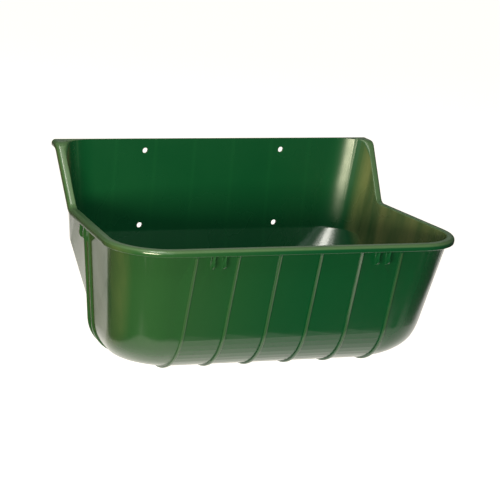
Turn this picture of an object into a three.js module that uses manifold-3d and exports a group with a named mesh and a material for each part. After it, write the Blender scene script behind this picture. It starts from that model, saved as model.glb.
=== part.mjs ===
// Wall feed trough with a high back and side wings, injection moulded in one piece.
// Millimetres. +X is to the right of someone who faces the trough, +Y goes back
// into the wall and +Z is up. The origin is the middle of the four bolt holes, on
// the flat back face that lies against the wall.

import * as THREE from 'three';
import { mergeVertices } from 'three/addons/utils/BufferGeometryUtils.js';
import Module from 'manifold-3d';

const wasm = await Module();
wasm.setup();

const degrees = Math.PI / 180;

// Wall and overall size of the basin, measured on the outside of the wall. The
// sides splay, so the basin is widest just behind its front corners.
const wallThickness = 4;
const backHalfWidth = 286;
const sideSplay = 4.5 * degrees;
const rimDepth = 394;
const rimHeight = -3;
const floorHeight = -241;

// Lean of the walls, and the radii where they turn into the floor.
const sideDraft = 6.8 * degrees;
const frontDraft = 12.5 * degrees;
const rearDraft = 12 * degrees;
const sideFloorRadius = 62;
const frontFloorRadius = 103;
const rearFloorRadius = 75;

// Upright corners. Those at the back open out below the panel. All of them close
// again where they run out into the floor.
const frontCornerRadius = 84;
const backCornerRadius = 68;
const lowBackCornerRadius = 185;
const floorCornerShare = 0.46;

// Flat back panel, the bend at its foot, and its four bolt holes.
const panelTop = 89;
const panelBottom = -78;
const panelBendRadius = 24;
const boltHalfSpacing = 132;
const boltHalfHeight = 68;
const boltHoleDiameter = 10;

// Edge of the wings, seen from the side. In front of the knee the rim is straight.
const wingTopDepth = 28;
const wingTopRadius = 18;
const kneeDepth = 98;
const kneeHeight = -9;
const kneeRadius = 16;

// Rolled lip: a flange that turns out and down, open underneath.
const lipOverhang = 9.8;
const lipHeight = 11.4;
const lipThickness = 3.4;
const lipOuterRadius = 6.5;
const lipInnerRadius = 2;
const lipBead = 0.4;

// Stiffening ribs outside the basin. The front ones run on under the floor. On each
// side wall a pair comes down to the outermost of these.
const ribCount = 6;
const ribPitch = 75;
const ribThickness = 6;
const ribHeight = 3.2;
const ribCrestRadius = 1.6;
const sideRibDepth = 176;
const sideRibSpacing = 24;

// Thin gussets that hold the lip, in pairs between the outer ribs, and one on each
// side rib.
const gussetThickness = 3.6;
const gussetSpacing = 20;
const gussetHeight = 42;
const gussetToe = 10;
const gussetToeRadius = 7;
const gussetSetback = 1;

// How finely curves are divided, how deep what is joined on goes into the wall, and
// how far a cut passes the part.
const cornerSteps = 12;
const floorSteps = 12;
const edgeSteps = 6;
const smallSteps = 3;
const bendSteps = 4;
const rootDepth = 6;
const overrun = 20;

const behind = new THREE.Vector3(0, 1, 0);
const forwards = new THREE.Vector3(0, -1, 0);
const above = new THREE.Vector3(0, 0, 1);

// A wall that leans in by its draft as it goes down and turns into the floor by a
// quarter round. It starts at the height start, and it can be offset into the wall.
class WallSection {
  constructor(start, draft, radius) {
    this.start = start;
    this.draft = draft;
    this.radius = radius;
    this.centreHeight = floorHeight + radius;
    this.centreInset = Math.tan(draft) * (start - this.centreHeight) + radius / Math.cos(draft);
  }

  // How far the wall has come in at a height, above or below the place where it starts.
  inset(height, offset) {
    const radius = this.radius - offset;
    const drop = this.centreHeight - height;
    if (drop > radius * Math.sin(this.draft)) {
      return this.centreInset - Math.sqrt(Math.max(0, radius * radius - drop * drop));
    }
    return (this.start - height) * Math.tan(this.draft) + offset / Math.cos(this.draft);
  }

  // The same as a share of the whole way, which is 0 where it starts and 1 at the floor.
  share(height, offset) {
    const begun = offset / Math.cos(this.draft);
    return (this.inset(height, offset) - begun) / (this.centreInset - begun);
  }

  // The heights of the rings that the quarter round needs, from the floor up.
  roundHeights(offset) {
    const radius = this.radius - offset;
    const turn = Math.PI / 2 - this.draft;
    return Array.from({ length: floorSteps + 1 }, (_, step) =>
      this.centreHeight - radius * Math.cos((turn * step) / floorSteps));
  }

  // The outside of the wall from a height called top to the floor, as points on it and
  // the directions that face out of it. The wall starts at a distance called reach.
  outsidePath(reach, top) {
    const turn = Math.PI / 2 - this.draft;
    const centre = new THREE.Vector2(reach - this.centreInset, this.centreHeight);
    const round = Array.from({ length: floorSteps + 1 }, (_, step) => {
      const angle = -this.draft - (turn * step) / floorSteps;
      const facing = new THREE.Vector2(Math.cos(angle), Math.sin(angle));
      return { point: facing.clone().multiplyScalar(this.radius).add(centre), facing };
    });
    const first = new THREE.Vector2(reach - this.inset(top, 0), top);
    return [{ point: first, facing: round[0].facing }, ...round];
  }
}

const sideSection = new WallSection(rimHeight, sideDraft, sideFloorRadius);
const frontSection = new WallSection(rimHeight, frontDraft, frontFloorRadius);
const rearSection = new WallSection(panelBottom, rearDraft, rearFloorRadius);

// Half the width between the side walls at a place on them.
function sideWidth(y, height, offset = 0) {
  return backHalfWidth - Math.tan(sideSplay) * y - sideSection.inset(height, offset);
}

// The inside or outside of the rear: flat against the wall, round the bend at the foot
// of the panel, and then down the leaning wall.
const bendTop = panelBottom + panelBendRadius * Math.tan(rearDraft / 2);

function rearEdge(height, offset) {
  const radius = panelBendRadius - offset;
  const drop = Math.max(0, bendTop - height);
  if (drop < radius * Math.sin(rearDraft)) {
    return Math.sqrt(radius * radius - drop * drop) - panelBendRadius;
  }
  return -rearSection.inset(height, offset);
}

function bendHeights(offset) {
  return Array.from({ length: bendSteps + 1 }, (_, step) =>
    bendTop - (panelBendRadius - offset) * Math.sin(rearDraft * (1 - step / bendSteps)));
}

// The corners close in on the floor so far that its flat part keeps all four sides.
const floorDepth = rimDepth - frontSection.centreInset - rearSection.centreInset;
const floorCornerRadius = floorDepth * floorCornerShare;

// How far a value has gone from one end of a range to the other, without passing them.
function shareOf(value, from, to) {
  return THREE.MathUtils.clamp((value - from) / (to - from), 0, 1);
}

function frontRadius(height, offset) {
  const closing = sideSection.share(height, offset);
  return THREE.MathUtils.lerp(frontCornerRadius, floorCornerRadius, closing) - offset;
}

function rearRadius(height, offset) {
  const roundTop = rearSection.centreHeight;
  const opening = shareOf(height, panelBottom, roundTop);
  const closing = shareOf(rearSection.share(height, offset), rearSection.share(roundTop, offset), 1);
  const open = THREE.MathUtils.lerp(backCornerRadius, lowBackCornerRadius, opening);
  return THREE.MathUtils.lerp(open, floorCornerRadius, closing) - offset;
}

// A corner of a polygon, rounded by an arc with the given radius.
function roundedCorner(before, corner, after, radius, steps) {
  const back = before.clone().sub(corner).normalize();
  const on = after.clone().sub(corner).normalize();
  const half = Math.acos(back.dot(on)) / 2;
  const centre = back.clone().add(on).setLength(radius / Math.sin(half)).add(corner);
  const start = back.multiplyScalar(radius / Math.tan(half)).add(corner).sub(centre);
  const end = on.multiplyScalar(radius / Math.tan(half)).add(corner).sub(centre);
  const turn = Math.atan2(start.cross(end), start.dot(end));
  return Array.from({ length: steps + 1 }, (_, step) =>
    start.clone().rotateAround(new THREE.Vector2(), (turn * step) / steps).add(centre));
}

// The outline of the basin at one height, anticlockwise from its back right corner.
function basinOutline(height, offset) {
  const rear = rearEdge(height, offset);
  const front = -rimDepth + frontSection.inset(height, offset);
  const corners = [
    new THREE.Vector2(sideWidth(rear, height, offset), rear),
    new THREE.Vector2(-sideWidth(rear, height, offset), rear),
    new THREE.Vector2(-sideWidth(front, height, offset), front),
    new THREE.Vector2(sideWidth(front, height, offset), front),
  ];
  const atRear = rearRadius(height, offset);
  const atFront = frontRadius(height, offset);
  const radii = [atRear, atRear, atFront, atFront];
  return corners.flatMap((corner, i) =>
    roundedCorner(corners[(i + 3) % 4], corner, corners[(i + 1) % 4], radii[i], cornerSteps));
}

// A closed skin over rings that have equally many points, with a lid on each end.
function loft(rings, firstOutline, lastOutline) {
  const count = rings[0].length;
  const last = (rings.length - 1) * count;
  const triangles = [];
  for (let start = 0; start < last; start += count) {
    for (let i = 0; i < count; i++) {
      const a = start + i;
      const b = start + ((i + 1) % count);
      triangles.push(a, b, b + count, a, b + count, a + count);
    }
  }
  for (const [a, b, c] of THREE.ShapeUtils.triangulateShape(firstOutline, [])) {
    triangles.push(c, b, a);
  }
  for (const [a, b, c] of THREE.ShapeUtils.triangulateShape(lastOutline, [])) {
    triangles.push(last + a, last + b, last + c);
  }
  const geometry = new THREE.BufferGeometry().setFromPoints(rings.flat());
  geometry.setIndex(triangles);
  return geometry;
}

// A section drawn in x and y, carried along a path. Each station of the path says
// where the section's origin lies and which ways its x and its y go.
function sweep(section, stations) {
  const rings = stations.map(({ place, x, y }) => section.map((p) =>
    place.clone().addScaledVector(x, p.x).addScaledVector(y, p.y)));
  return solid(loft(rings, section, section));
}

function solid(geometry) {
  geometry.deleteAttribute('normal');
  geometry.deleteAttribute('uv');
  const merged = mergeVertices(geometry);
  return new wasm.Manifold(new wasm.Mesh({
    numProp: 3,
    vertProperties: new Float32Array(merged.attributes.position.array),
    triVerts: new Uint32Array(merged.index.array),
  }));
}

function joined(solids) {
  return solids.reduce((whole, piece) => whole.add(piece));
}

// The basin as a filled form, up to a given height. An offset gives the cavity.
function basin(top, offset) {
  const heights = [...frontSection.roundHeights(offset), ...bendHeights(offset), top];
  const outlines = heights.map((height) => basinOutline(height, offset));
  const rings = outlines.map((outline, level) =>
    outline.map((p) => new THREE.Vector3(p.x, p.y, heights[level])));
  return solid(loft(rings, outlines[0], outlines.at(-1)));
}

// An upright outline made thick, centred on its plane. The outline's x goes along
// the direction across and its y goes up.
function plate(outline, thickness, across, centre) {
  const geometry = new THREE.ExtrudeGeometry(new THREE.Shape(outline), {
    depth: thickness,
    bevelEnabled: false,
  });
  geometry.translate(0, 0, -thickness / 2);
  geometry.applyMatrix4(new THREE.Matrix4().makeBasis(across, above, across.clone().cross(above)));
  geometry.translate(centre.x, centre.y, centre.z);
  return solid(geometry);
}

// Height of the straight rim in front of the knee.
function rimLine(y) {
  return THREE.MathUtils.mapLinear(y, -kneeDepth, -rimDepth, kneeHeight, rimHeight);
}

// The edge of the trough seen from the side, from the wall to the front corners: the
// top of the back, down the wing, round the knee and along the rim.
function edgeProfile(end) {
  const points = [
    new THREE.Vector2(overrun, panelTop),
    new THREE.Vector2(-wingTopDepth, panelTop),
    new THREE.Vector2(-kneeDepth, kneeHeight),
    new THREE.Vector2(end, rimLine(end)),
  ];
  return [
    ...roundedCorner(points[0], points[1], points[2], wingTopRadius, edgeSteps),
    ...roundedCorner(points[1], points[2], points[3], kneeRadius, edgeSteps),
    points[3],
  ];
}

// Everything above the edge of the trough, down to half the thickness of the lip.
function edgeCut() {
  const front = -rimDepth - lipOverhang - overrun;
  const profile = edgeProfile(front);
  const outline = [
    ...profile.map((p) => new THREE.Vector2(p.x, p.y - lipThickness / 2)),
    new THREE.Vector2(front, panelTop + overrun),
    new THREE.Vector2(profile[0].x, panelTop + overrun),
  ];
  return plate(outline, 3 * rimDepth, behind, new THREE.Vector3());
}

// Where the back corners are round, a web under the edge reaches out to the lip.
function cornerWeb(side) {
  const profile = edgeProfile(-2 * kneeDepth);
  const slope = Math.atan2(panelTop - kneeHeight, kneeDepth - wingTopDepth);
  const drop = lipThickness / Math.cos(slope);
  const upper = [new THREE.Vector2(overrun, panelTop), ...profile];
  const lower = upper.map((p) => new THREE.Vector2(p.x, p.y - drop)).reverse();
  const middle = side * (sideWidth(0, panelTop) - backCornerRadius / 2);
  const web = plate([...upper, ...lower], backCornerRadius, behind, new THREE.Vector3(middle, 0, 0));
  const corner = new THREE.BoxGeometry(2 * backCornerRadius, 2 * backCornerRadius, 2 * panelTop);
  corner.translate(middle, 0, panelTop);
  return web.intersect(solid(corner));
}

// The section of the lip, with x outwards from the wall and y up from the edge.
function lipSection() {
  const inside = -wallThickness - lipBead;
  const corners = [
    new THREE.Vector2(inside, 0),
    new THREE.Vector2(inside, -lipThickness),
    new THREE.Vector2(lipOverhang - lipThickness, -lipThickness),
    new THREE.Vector2(lipOverhang - lipThickness, -lipHeight),
    new THREE.Vector2(lipOverhang, -lipHeight),
    new THREE.Vector2(lipOverhang, 0),
  ];
  const underRadius = lipOuterRadius - lipThickness;
  const round = (i, radius, steps) =>
    roundedCorner(corners[(i + 5) % 6], corners[i], corners[(i + 1) % 6], radius, steps);
  return [
    ...round(0, lipInnerRadius, smallSteps),
    corners[1],
    ...round(2, underRadius, smallSteps),
    ...round(3, lipThickness / 3, 1),
    ...round(4, lipThickness / 3, 1),
    ...round(5, lipOuterRadius, edgeSteps),
  ];
}

// The lip follows the edge from the wall to one front corner, across to the other
// corner and back to the wall. It starts and ends behind the wall plane.
function lip() {
  const corner = basinOutline(rimHeight, 0).slice(-cornerSteps - 1).reverse();
  const facing = new THREE.Vector3(Math.cos(sideSplay), Math.sin(sideSplay), 0);
  const profile = [new THREE.Vector2(overrun, panelTop), ...edgeProfile(corner[0].y).slice(0, -1)];
  const side = profile.map((p) => ({
    place: new THREE.Vector3(sideWidth(p.x, p.y), p.x, p.y),
    x: facing,
  }));
  const arc = corner.map((p, step) => {
    const level = rimLine(p.y);
    const onWall = basinOutline(level, 0).at(-1 - step);
    const turn = (Math.PI / 2 + sideSplay) * (step / cornerSteps);
    return {
      place: new THREE.Vector3(onWall.x, onWall.y, level),
      x: facing.clone().applyAxisAngle(above, -turn),
    };
  });
  const right = [...side, ...arc];
  const left = right.map(({ place, x }) => ({
    place: place.clone().setX(-place.x),
    x: x.clone().setX(-x.x),
  }));
  const path = [...right, ...left.reverse()];
  const stations = path.map(({ place, x }, i) => {
    const before = path[Math.max(i - 1, 0)].place;
    const after = path[Math.min(i + 1, path.length - 1)].place;
    return { place, x, y: after.clone().sub(before).cross(x).normalize() };
  });
  return sweep(lipSection(), stations);
}

// Rib section with x across the rib and y out of the wall.
function ribSection() {
  const half = ribThickness / 2;
  const corners = [
    new THREE.Vector2(-half, -rootDepth),
    new THREE.Vector2(half, -rootDepth),
    new THREE.Vector2(half, ribHeight),
    new THREE.Vector2(-half, ribHeight),
  ];
  return [
    corners[0],
    corners[1],
    ...roundedCorner(corners[1], corners[2], corners[3], ribCrestRadius, smallSteps),
    ...roundedCorner(corners[2], corners[3], corners[0], ribCrestRadius, smallSteps),
  ];
}

// A rib over the outside of a wall, along a path in the upright plane of across.
function rib(path, across, centre) {
  const spread = ({ x, y }) => across.clone().multiplyScalar(x).addScaledVector(above, y);
  const sideways = across.clone().cross(above).negate();
  const stations = path.map(({ point, facing }) =>
    ({ place: spread(point).add(centre), x: sideways, y: spread(facing) }));
  return sweep(ribSection(), stations);
}

// Down the front wall and under the floor, to where the floor turns up at the rear.
function longRib(x) {
  const rearEnd = {
    point: new THREE.Vector2(rearSection.centreInset, floorHeight),
    facing: new THREE.Vector2(0, -1),
  };
  const path = [...frontSection.outsidePath(rimDepth, rimHeight - lipThickness / 2), rearEnd];
  return rib(path, forwards, new THREE.Vector3(x, 0, 0));
}

function sideRib(y, side) {
  const across = new THREE.Vector3(side, 0, 0);
  const end = ((ribCount - 1) / 2) * ribPitch;
  const onFloor = { point: new THREE.Vector2(end, floorHeight), facing: new THREE.Vector2(0, -1) };
  const wall = sideSection.outsidePath(sideWidth(y, rimHeight), rimLine(y) - lipThickness / 2);
  const path = [...wall, onFloor];
  return rib(path, across, new THREE.Vector3(0, y, 0));
}

// A gusset fills the hollow of the lip and comes back to the wall below it.
function gusset(section, reach, level, across, centre) {
  const wallAt = (drop) => reach - drop * Math.tan(section.draft) - rootDepth;
  const top = level - lipThickness / 2;
  const toe = new THREE.Vector2(reach + lipOverhang - 2 * gussetSetback, level - gussetHeight + gussetToe);
  const foot = new THREE.Vector2(wallAt(gussetHeight), level - gussetHeight);
  const front = new THREE.Vector2(reach + lipOverhang - gussetSetback, level - lipHeight);
  const outline = [
    new THREE.Vector2(wallAt(0), top),
    foot,
    ...roundedCorner(foot, toe, front, gussetToeRadius, smallSteps),
    front,
    new THREE.Vector2(reach + lipOverhang - lipThickness, top),
  ];
  return plate(outline, gussetThickness, across, centre);
}

function frontGusset(x) {
  return gusset(frontSection, rimDepth, rimHeight, forwards, new THREE.Vector3(x, 0, 0));
}

function sideGusset(y, side) {
  const level = rimLine(y);
  const across = new THREE.Vector3(side, 0, 0);
  return gusset(sideSection, sideWidth(y, level), level, across, new THREE.Vector3(0, y, 0));
}

function boltHole(x, z) {
  const geometry = new THREE.CylinderGeometry(boltHoleDiameter / 2, boltHoleDiameter / 2, overrun, 24);
  geometry.translate(x, 0, z);
  return solid(geometry);
}

function moulding() {
  const bothSides = [-1, 1];
  const ribPlaces = Array.from({ length: ribCount }, (_, i) => (i - (ribCount - 1) / 2) * ribPitch);
  const gussetPlaces = bothSides.flatMap((side) =>
    bothSides.map((end) => side * (ribCount / 2 - 1) * ribPitch + (end * gussetSpacing) / 2));
  const sideRibPlaces = bothSides.map((end) => -sideRibDepth + (end * sideRibSpacing) / 2);
  const stiffeners = joined([
    ...ribPlaces.map(longRib),
    ...gussetPlaces.map(frontGusset),
    ...bothSides.flatMap((side) => sideRibPlaces.map((y) => sideRib(y, side))),
    ...bothSides.flatMap((side) => sideRibPlaces.map((y) => sideGusset(y, side))),
  ]);
  const behindWall = new THREE.BoxGeometry(3 * rimDepth, 2 * overrun, 3 * rimDepth);
  behindWall.translate(0, overrun, 0);
  const boltHoles = bothSides.flatMap((side) =>
    bothSides.map((level) => boltHole(side * boltHalfSpacing, level * boltHalfHeight)));
  return basin(panelTop, 0)
    .subtract(edgeCut())
    .add(stiffeners)
    .add(joined(bothSides.map(cornerWeb)))
    .subtract(basin(panelTop + overrun, wallThickness))
    .add(lip())
    .subtract(solid(behindWall))
    .subtract(joined(boltHoles));
}

function meshGeometry(shape) {
  const { vertProperties, triVerts } = shape.getMesh();
  const geometry = new THREE.BufferGeometry();
  geometry.setAttribute('position', new THREE.BufferAttribute(new Float32Array(vertProperties), 3));
  geometry.setIndex(new THREE.BufferAttribute(new Uint32Array(triVerts), 1));
  geometry.computeVertexNormals();
  return geometry;
}

const greenPolyethylene = new THREE.MeshStandardMaterial({
  color: 0x1d5a2f,
  roughness: 0.42,
  metalness: 0,
});

const trough = new THREE.Group();
const shell = new THREE.Mesh(meshGeometry(moulding()), greenPolyethylene);
shell.name = 'trough_shell';
trough.add(shell);

export default trough;
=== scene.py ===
import math

import bmesh
import bpy
from mathutils import Matrix, Vector


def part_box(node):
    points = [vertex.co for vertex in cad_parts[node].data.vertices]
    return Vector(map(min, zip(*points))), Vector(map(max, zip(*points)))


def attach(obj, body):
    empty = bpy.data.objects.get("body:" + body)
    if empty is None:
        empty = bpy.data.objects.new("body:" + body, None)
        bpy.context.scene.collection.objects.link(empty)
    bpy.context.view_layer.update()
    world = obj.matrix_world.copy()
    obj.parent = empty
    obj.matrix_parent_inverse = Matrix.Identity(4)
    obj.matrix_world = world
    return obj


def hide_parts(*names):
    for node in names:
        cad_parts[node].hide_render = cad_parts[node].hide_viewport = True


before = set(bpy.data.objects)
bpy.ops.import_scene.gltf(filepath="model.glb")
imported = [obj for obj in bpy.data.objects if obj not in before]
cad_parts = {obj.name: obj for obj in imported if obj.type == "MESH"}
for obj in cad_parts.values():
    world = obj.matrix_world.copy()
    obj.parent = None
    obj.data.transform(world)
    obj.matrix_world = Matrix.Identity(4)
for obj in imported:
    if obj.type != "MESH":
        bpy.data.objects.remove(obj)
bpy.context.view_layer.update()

# The whole trough is one moulding in dark green polyethylene. Basin, high back, wings,
# rolled lip, ribs and gussets come out of the mould in one shot. It hangs on a wall by
# four screws through the holes in its back.
shell_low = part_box("trough_shell")[0]
weld_distance = 0.00002
crease_angle = math.radians(32)
normal_weight = 50
basin_middle = -0.2
lip_foot = -0.02
rib_pitch = 0.075
rib_count = 6
plastic_ior = 1.5

green_deep = (0.0012, 0.039, 0.0125, 1)
green_worn = (0.003, 0.052, 0.016, 1)
green_shaded = (0.002, 0.047, 0.015, 1)
# Painted lighter green for the outside lit from the left.
green_painted_lit = (0.017, 0.064, 0.019, 1)
# Partly dust, partly painted warm light on the side walls.
dust_and_warm_light_colour = (0.2, 0.19, 0.075, 1)
# Painted highlight colour for the rim and the rib crests.
painted_highlight_colour = (0.05, 0.1, 0.045, 1)


def welded_copy(node_name, piece_name):
    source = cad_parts[node_name].data
    work = bmesh.new()
    work.from_mesh(source)
    bmesh.ops.remove_doubles(work, verts=work.verts, dist=weld_distance)
    bmesh.ops.dissolve_degenerate(work, edges=work.edges, dist=weld_distance)
    mesh = bpy.data.meshes.new(piece_name)
    work.to_mesh(mesh)
    work.free()
    mesh.shade_smooth()
    mesh.set_sharp_from_angle(angle=crease_angle)
    piece = bpy.data.objects.new(piece_name, mesh)
    bpy.context.collection.objects.link(piece)
    return piece


# Links a node's input to another node's output, or sets it to a plain value.
def feed(material, socket, given):
    if isinstance(given, bpy.types.NodeSocket):
        material.node_tree.links.new(given, socket)
    else:
        socket.default_value = given


def along_axes(material, vector):
    node = material.node_tree.nodes.new("ShaderNodeSeparateXYZ")
    feed(material, node.inputs["Vector"], vector)
    return node.outputs


def worked_out(material, operation, *givens):
    node = material.node_tree.nodes.new("ShaderNodeMath")
    node.operation = operation
    for socket, given in zip(node.inputs, givens):
        feed(material, socket, given)
    return node.outputs["Value"]


# Takes a value from one range to another. A soft one eases in and out at its ends.
def graded(material, given, start, end, low=0, high=1, soft=False):
    node = material.node_tree.nodes.new("ShaderNodeMapRange")
    node.interpolation_type = "SMOOTHSTEP" if soft else "LINEAR"
    feed(material, node.inputs["Value"], given)
    feed(material, node.inputs["From Min"], start)
    feed(material, node.inputs["From Max"], end)
    feed(material, node.inputs["To Min"], low)
    feed(material, node.inputs["To Max"], high)
    return node.outputs["Result"]


def speckle(material, vector, scale, detail, distortion=0):
    node = material.node_tree.nodes.new("ShaderNodeTexNoise")
    feed(material, node.inputs["Vector"], vector)
    feed(material, node.inputs["Scale"], scale)
    feed(material, node.inputs["Detail"], detail)
    feed(material, node.inputs["Distortion"], distortion)
    return node.outputs["Fac"]


def raised(material, pattern, strength, height):
    node = material.node_tree.nodes.new("ShaderNodeBump")
    feed(material, node.inputs["Height"], pattern)
    feed(material, node.inputs["Strength"], strength)
    feed(material, node.inputs["Distance"], height)
    return node


# Lays a second colour over the first where the mask is strong.
def overlaid(material, mask, first, second):
    node = material.node_tree.nodes.new("ShaderNodeMix")
    node.data_type = "RGBA"
    feed(material, node.inputs["Factor"], mask)
    feed(material, node.inputs["A"], first)
    feed(material, node.inputs["B"], second)
    return node.outputs["Result"]


def moulded_polyethylene():
    material = bpy.data.materials.new("green_polyethylene")
    material.use_nodes = True
    nodes = material.node_tree.nodes
    surface = nodes["Principled BSDF"]
    place = nodes.new("ShaderNodeTexCoord").outputs
    where = along_axes(material, place["Object"])
    facing = along_axes(material, place["Normal"])

    # How far each wall stands out from the middle, which is negative on the inside.
    sideways = worked_out(material, "MULTIPLY", where["X"], facing["X"])
    depth = worked_out(material, "SUBTRACT", where["Y"], basin_middle)
    lengthways = worked_out(material, "MULTIPLY", depth, facing["Y"])
    outwards = worked_out(material, "ADD", sideways, lengthways)
    inside_start = -0.02
    inside_full = -0.1
    inside = graded(material, outwards, inside_start, inside_full, soft=True)

    # Flow marks and pigment that didn't mix evenly, several centimetres across.
    cloud_scale = 6
    cloud_detail = 4
    cloud_distortion = 0.6
    clouds = speckle(material, place["Object"], cloud_scale, cloud_detail, cloud_distortion)
    cloudy = overlaid(material, clouds, green_deep, green_worn)

    # The outside is painted lighter the farther left, as painted light from the left; the right keeps
    # the darker painted shade.
    painted_light_start = 0.05
    painted_light_leftwards = graded(material, where["X"], painted_light_start, shell_low.x, soft=True)
    painted_lit_outside = overlaid(material, painted_light_leftwards, green_shaded, green_painted_lit)
    painted_lit_mix = overlaid(material, inside, painted_lit_outside, cloudy)

    # Opposite each rib, a paler line is painted on the inside as the painted sheen of a slight sink
    # mark.
    sink_edge = 0.00525
    sink_core = 0.00075
    sink_strength = 0.6
    half_pitch = rib_pitch / 2
    from_gap = worked_out(material, "PINGPONG", where["X"], half_pitch)
    from_rib = worked_out(material, "SUBTRACT", half_pitch, from_gap)
    painted_sink_sheen = graded(material, from_rib, sink_edge, sink_core, high=sink_strength, soft=True)
    painted_sink_sheen_inside = worked_out(material, "MULTIPLY", painted_sink_sheen, inside)
    sink_sheen_lined = overlaid(material, painted_sink_sheen_inside, painted_lit_mix, green_worn)

    # Below the lip, the crests of the front ribs get a painted highlight.
    crest_edge = 0.003375
    crest_core = 0.0015
    crest_highlight_strength = 0.4
    front_start = 0.02
    front_full = 0.08
    painted_crest_highlight = graded(material, from_rib, crest_edge, crest_core, high=crest_highlight_strength, soft=True)
    front = graded(material, outwards, front_start, front_full, soft=True)
    from_middle = worked_out(material, "ABSOLUTE", where["X"])
    among_ribs = worked_out(material, "LESS_THAN", from_middle, half_pitch * rib_count)
    under_lip = worked_out(material, "LESS_THAN", where["Z"], lip_foot)
    crest_highlight_mask = painted_crest_highlight
    for mask in (front, among_ribs, under_lip):
        crest_highlight_mask = worked_out(material, "MULTIPLY", crest_highlight_mask, mask)
    crest_highlighted = overlaid(material, crest_highlight_mask, sink_sheen_lined, painted_highlight_colour)

    # The side walls get streaks that are partly feed dust and partly painted warm light, more inside
    # than outside.
    side_start = 0.19
    side_full = 0.27
    streak_scale = 30
    streak_detail = 5
    streak_stretch = (1, 1, 0.15)
    streak_low = 0.3
    streak_high = 0.7
    dust_and_light_thin = 0.14
    dust_and_light_thick = 0.5
    outside_share = 0.45
    upright = nodes.new("ShaderNodeMapping")
    feed(material, upright.inputs["Vector"], place["Object"])
    feed(material, upright.inputs["Scale"], streak_stretch)
    streaks = speckle(material, upright.outputs["Vector"], streak_scale, streak_detail)
    thickness = graded(material, streaks, streak_low, streak_high, dust_and_light_thin, dust_and_light_thick)
    from_centre = worked_out(material, "ABSOLUTE", sideways)
    side = graded(material, from_centre, side_start, side_full, soft=True)
    dust_and_light_inside_share = graded(material, inside, 0, 1, low=outside_share)
    side_dust_and_light = worked_out(material, "MULTIPLY", side, thickness)
    dust_and_warm_light = worked_out(material, "MULTIPLY", side_dust_and_light, dust_and_light_inside_share)
    dusty_and_lit = overlaid(material, dust_and_warm_light, crest_highlighted, dust_and_warm_light_colour)

    # The rim and the tops of the wings, where they face up, get a painted highlight.
    level_start = 0.12
    level_full = 0.6
    painted_top_light = graded(material, facing["Z"], level_start, level_full, soft=True)
    above_foot = worked_out(material, "GREATER_THAN", where["Z"], lip_foot)
    rim = worked_out(material, "MULTIPLY", painted_top_light, above_foot)
    feed(material, surface.inputs["Base Color"], overlaid(material, rim, dusty_and_lit, painted_highlight_colour))

    # Handling dulls the gloss in patches. The inside and the rim are duller.
    polished = 0.13
    handled = 0.23
    inside_duller = 0.09
    rim_duller = 0.16
    gloss = graded(material, clouds, 0, 1, polished, handled)
    dull = worked_out(material, "MULTIPLY_ADD", inside, inside_duller, gloss)
    duller = worked_out(material, "MULTIPLY_ADD", rim, rim_duller, dull)
    feed(material, surface.inputs["Roughness"], duller)
    surface.inputs["IOR"].default_value = plastic_ior

    # The skin of the mould is a very fine grain over a slight waviness of the wall.
    skin_detail = 2
    wave_scale = 14
    wave_strength = 0.12
    wave_height = 0.004
    grain_scale = 900
    grain_strength = 0.05
    grain_height = 0.0005
    waves = speckle(material, place["Object"], wave_scale, skin_detail)
    grain = speckle(material, place["Object"], grain_scale, skin_detail)
    wavy = raised(material, waves, wave_strength, wave_height)
    fine = raised(material, grain, grain_strength, grain_height)
    feed(material, fine.inputs["Normal"], wavy.outputs["Normal"])
    feed(material, surface.inputs["Normal"], fine.outputs["Normal"])
    return material


trough = welded_copy("trough_shell", "moulded_trough")
trough.data.materials.clear()
trough.data.materials.append(moulded_polyethylene())
even = trough.modifiers.new("even_normals", "WEIGHTED_NORMAL")
even.mode = "FACE_AREA_WITH_ANGLE"
even.weight = normal_weight
even.keep_sharp = True
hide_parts("trough_shell")
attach(trough, "root")

# A plain pale sheet well below the trough, because that hangs on a wall. It is white
# where the camera, a reflection or a clear part sees it, and it keeps the shadow. It
# is cut off in front and beside the trough, so those walls mirror the darker room.
floor_drop = 0.5
floor_near = (-0.75, -2)
floor_far = (12, 17)
front_cut = ((0, -0.79, 0), (-0.12, -0.99, 0))
right_cut = ((0.75, -1.08, 0), (0.85, -0.53, 0))

paper_colour = (0.8, 0.8, 0.8, 1)
paper_roughness = 0.9
glow_colour = (1, 0.95, 0.9, 1)


def pale_floor():
    material = bpy.data.materials.new("pale_floor")
    material.use_nodes = True
    nodes, links = material.node_tree.nodes, material.node_tree.links
    paper = nodes["Principled BSDF"]
    paper.inputs["Base Color"].default_value = paper_colour
    paper.inputs["Roughness"].default_value = paper_roughness

    # The glow of the sheet falls off towards its left edge and its front.
    full_left = -0.3
    left_dim = 0.3
    front_edge = -0.7
    front_dim = 0.5
    where = along_axes(material, nodes.new("ShaderNodeTexCoord").outputs["Object"])
    from_left = graded(material, where["X"], floor_near[0], full_left, low=left_dim)
    from_front = graded(material, where["Y"], front_edge, 0, low=front_dim)
    glow = nodes.new("ShaderNodeEmission")
    glow.inputs["Color"].default_value = glow_colour
    feed(material, glow.inputs["Strength"], worked_out(material, "MULTIPLY", from_left, from_front))
    white = nodes.new("ShaderNodeAddShader")
    links.new(paper.outputs["BSDF"], white.inputs[0])
    links.new(glow.outputs["Emission"], white.inputs[1])

    path = nodes.new("ShaderNodeLightPath").outputs
    mirrored = worked_out(material, "MAXIMUM", path["Is Glossy Ray"], path["Is Transmission Ray"])
    seen = worked_out(material, "MAXIMUM", path["Is Camera Ray"], mirrored)
    choice = nodes.new("ShaderNodeMixShader")
    links.new(seen, choice.inputs["Fac"])
    links.new(paper.outputs["BSDF"], choice.inputs[1])
    links.new(white.outputs["Shader"], choice.inputs[2])
    links.new(choice.outputs["Shader"], nodes["Material Output"].inputs["Surface"])
    return material


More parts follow.
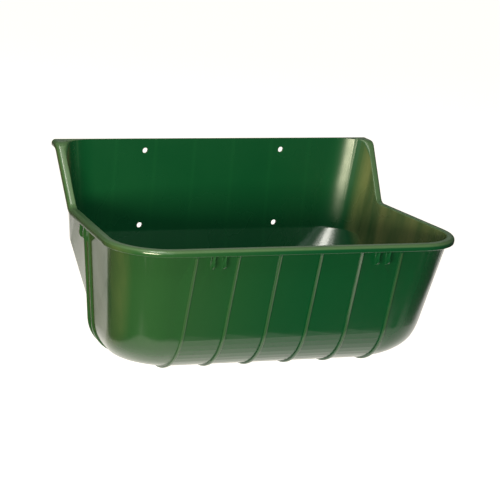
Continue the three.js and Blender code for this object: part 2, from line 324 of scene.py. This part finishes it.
floor_size = (floor_far[0] - floor_near[0], floor_far[1] - floor_near[1], 1)
floor_middle = ((floor_far[0] + floor_near[0]) / 2, (floor_far[1] + floor_near[1]) / 2,
                shell_low.z - floor_drop)
sheet = bmesh.new()
bmesh.ops.create_grid(sheet, x_segments=1, y_segments=1, size=0.5)
bmesh.ops.scale(sheet, verts=sheet.verts, vec=floor_size)
bmesh.ops.translate(sheet, verts=sheet.verts, vec=floor_middle)
for point, outwards in (front_cut, right_cut):
    everything = sheet.verts[:] + sheet.edges[:] + sheet.faces[:]
    bmesh.ops.bisect_plane(sheet, geom=everything, plane_co=point, plane_no=outwards, clear_outer=True)
floor_mesh = bpy.data.meshes.new("floor")
sheet.to_mesh(floor_mesh)
sheet.free()
floor_mesh.materials.append(pale_floor())
floor = bpy.data.objects.new("floor", floor_mesh)
bpy.context.collection.objects.link(floor)

# Soft studio light: a lamp above the left front corner, a wide low one on the left, a
# fill from the front, a faint one behind, and an even dark grey room.
room_colour = (1, 0.98, 0.95, 1)
room_strength = 0.07

world = bpy.data.worlds.new("studio")
bpy.context.scene.world = world
world.use_nodes = True
room = world.node_tree.nodes["Background"]
room.inputs["Color"].default_value = room_colour
room.inputs["Strength"].default_value = room_strength


def soft_lamp(name, place, target, size, power, colour):
    data = bpy.data.lights.new(name, "AREA")
    data.shape = "RECTANGLE"
    data.size, data.size_y = size
    data.energy = power
    data.color = colour
    lamp = bpy.data.objects.new(name, data)
    lamp.location = place
    lamp.rotation_euler = (Vector(target) - Vector(place)).to_track_quat("-Z", "Y").to_euler()
    bpy.context.collection.objects.link(lamp)


soft_lamp("key_lamp", place=(-0.65, -1.35, 2.0), target=(0, -0.15, 0),
          size=(0.6, 0.5), power=45, colour=(1, 0.98, 0.9))
soft_lamp("low_lamp", place=(-1.55, -2.5, 0.15), target=(0.25, 0, 0),
          size=(1.3, 0.45), power=115, colour=(1, 0.95, 0.66))
soft_lamp("fill_lamp", place=(-0.2, -3.2, 1.2), target=(0, -0.15, -0.1),
          size=(1.5, 1.0), power=16, colour=(0.94, 1, 0.97))
soft_lamp("rear_lamp", place=(1.8, 4.0, 2.2), target=(0, -0.15, 0),
          size=(3, 1.5), power=10, colour=(0.9, 1, 0.85))

# The camera stands to the left of the trough and looks down on it. The view is shifted
# as far as the photograph's framing needs.
camera_place = (-1.6099, -3.5819, 0.9161)
camera_yaw = math.radians(24.061)
camera_pitch = math.radians(17.335)
camera_roll = math.radians(4.985)
camera_sensor = 36
camera_lens = 161.02
camera_shift = (0.1198, 0.1995)
camera_range = 100

view = bpy.data.cameras.new("camera")
view.sensor_width = camera_sensor
view.lens = camera_lens
view.shift_x, view.shift_y = camera_shift
view.clip_end = camera_range
camera = bpy.data.objects.new("camera", view)
look = Matrix.Rotation(-camera_yaw, 4, "Z") @ Matrix.Rotation(math.pi / 2 - camera_pitch, 4, "X")
camera.matrix_world = Matrix.Translation(camera_place) @ look @ Matrix.Rotation(camera_roll, 4, "Z")
bpy.context.collection.objects.link(camera)
bpy.context.scene.camera = camera

bpy.context.scene.view_settings.view_transform = "Standard"
